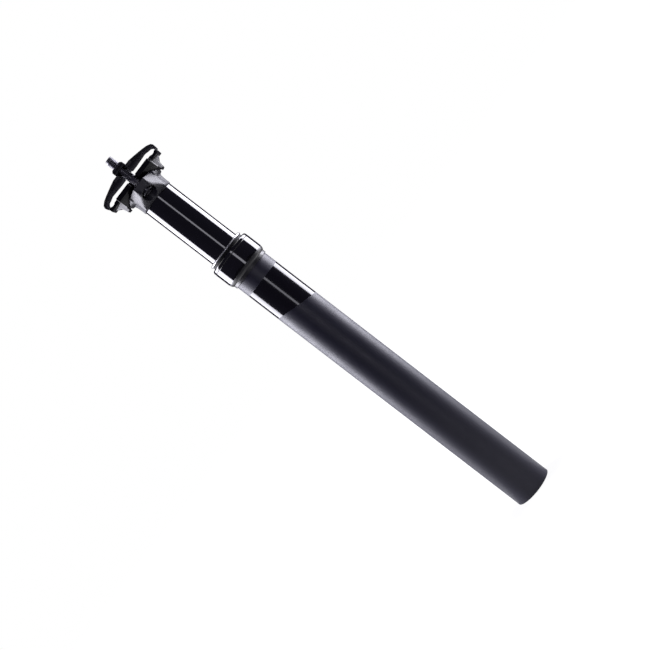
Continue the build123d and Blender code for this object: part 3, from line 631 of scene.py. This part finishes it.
# Spring stack inside the upper tube: five cast urethane springs with bulging sides, on the plastic
# discs that keep them apart, between the head's spigot and the push rod's plunger.
STACK_BOTTOM = 118.0
STACK_TOP = 300.0
SPRING_COUNT = 5
DISC_THICKNESS = 2.0
DISC_RADIUS = 10.9
SPRING_LENGTH = (STACK_TOP - STACK_BOTTOM - (SPRING_COUNT + 1) * DISC_THICKNESS) / SPRING_COUNT


def stack_tree():
    """Geometry nodes that repeat a piece up the post."""
    tree = bpy.data.node_groups.new("stacked", "GeometryNodeTree")
    face = tree.interface
    face.new_socket("Geometry", in_out="INPUT", socket_type="NodeSocketGeometry")
    face.new_socket("Count", in_out="INPUT", socket_type="NodeSocketInt")
    face.new_socket("Pitch", in_out="INPUT", socket_type="NodeSocketFloat")
    face.new_socket("Finish", in_out="INPUT", socket_type="NodeSocketMaterial")
    face.new_socket("Geometry", in_out="OUTPUT", socket_type="NodeSocketGeometry")
    sizes = add(tree, "NodeGroupInput")
    step = add(tree, "ShaderNodeCombineXYZ", {}, {"Z": sizes.outputs["Pitch"]})
    line = add(tree, "GeometryNodeMeshLine", {}, {"Count": sizes.outputs["Count"], "Offset": step})
    copies = add(tree, "GeometryNodeInstanceOnPoints", {}, {"Points": line, "Instance": sizes.outputs["Geometry"]})
    real = add(tree, "GeometryNodeRealizeInstances", {}, {"Geometry": copies})
    done = add(tree, "GeometryNodeSetMaterial", {}, {"Geometry": real, "Material": sizes.outputs["Finish"]})
    add(tree, "NodeGroupOutput", {}, {0: done})
    return tree


# Cast urethane is an amber rubber with a smooth soft gloss. Moulded acetal is a milky white.
urethane = moulded("cast_urethane", "#c9a63a", 0.45, 1.0, 0.05)
acetal = moulded("white_acetal", "#e4e2dc", 0.35)
foot = STACK_BOTTOM + DISC_THICKNESS
bulge = [(0.0001, 0.0), (9.2, 0.0), (9.6, 1.2), (9.6, 3.0), (9.2, SPRING_LENGTH / 2), (9.6, SPRING_LENGTH - 3.0),
         (9.6, SPRING_LENGTH - 1.2), (9.2, SPRING_LENGTH), (0.0001, SPRING_LENGTH)]
spring = lathe("spring", [(radius, foot + height) for radius, height in bulge], SMALL_STEPS)
stacked = stack_tree()
springs = grown(stacked, "urethane_springs",
                {"Count": SPRING_COUNT, "Pitch": (SPRING_LENGTH + DISC_THICKNESS) * MM, "Finish": urethane}, spring)
plate = lathe("plate", [(0.0001, STACK_BOTTOM), (DISC_RADIUS, STACK_BOTTOM), (DISC_RADIUS, foot), (0.0001, foot)],
              SMALL_STEPS)
plates = grown(stacked, "acetal_discs",
               {"Count": SPRING_COUNT + 1, "Pitch": (SPRING_LENGTH + DISC_THICKNESS) * MM, "Finish": acetal}, plate)
for stack in (finished(springs, "upper_tube_group", ["elastomers"], urethane),
              finished(plates, "upper_tube_group", ["stack_spacers"], acetal)):
    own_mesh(stack)


# Bumpers: two moulded rubber stops on the push rod, a waisted one under the foot nut and a thin
# one above it.
finished(lathe("lower_bumper", [(5.0, 24.0), (10.2, 24.0), (10.5, 24.4), (10.4, 26.0), (9.7, 29.75), (10.4, 33.5),
                                (10.5, 35.1), (10.2, 35.5), (5.0, 35.5)], SMALL_STEPS),
         "lower_tube_group", ["bottom_out_bumper"], nitrile)
finished(lathe("upper_bumper", [(5.0, 104.0), (10.2, 104.0), (10.5, 104.4), (10.5, 107.6), (10.2, 108.0),
                                (5.0, 108.0)], SMALL_STEPS),
         "lower_tube_group", ["top_out_bumper"], nitrile)


# The pieces inside keep their own solids. Bushings are a dark bearing plastic and keys brass, the
# plug and foot nut turned aluminium anodised black, the rod ground steel, its bolt and nut zinc
# plated, the washers hardened steel, and the plunger acetal.

# Filled acetal is a dull mid grey, drawn brass a warm sheen, turned and anodised aluminium a satin
# black, zinc plate a pale bluish sheen, and hardened steel a darker and warmer grey.
bearing = moulded("filled_acetal", "#4b4c50", 0.40)
brass = steel("drawn_brass", "#c4a35a", 0.28)
turned_black = anodised("turned_black_anodising", "#1b1a20", 0.30, 0.3, 0.15)
zinc_plate = steel("zinc_plated_steel", "#bfc3c8", 0.30)
hardened = steel("hardened_steel", "#8f8d8a", 0.35)
OWN_SOLIDS = {"upper_bushing": bearing, "lower_bushing": bearing, "guide_keys": brass,
              "base_plug": turned_black, "plunger": acetal, "foot_nut": turned_black,
              "push_rod": ground_steel, "rod_bolt": zinc_plate, "rod_nut": zinc_plate,
              "front_washer": hardened, "rear_washer": hardened}
for node, material in OWN_SOLIDS.items():
    nodes[node].data.materials.clear()
    nodes[node].data.materials.append(material)
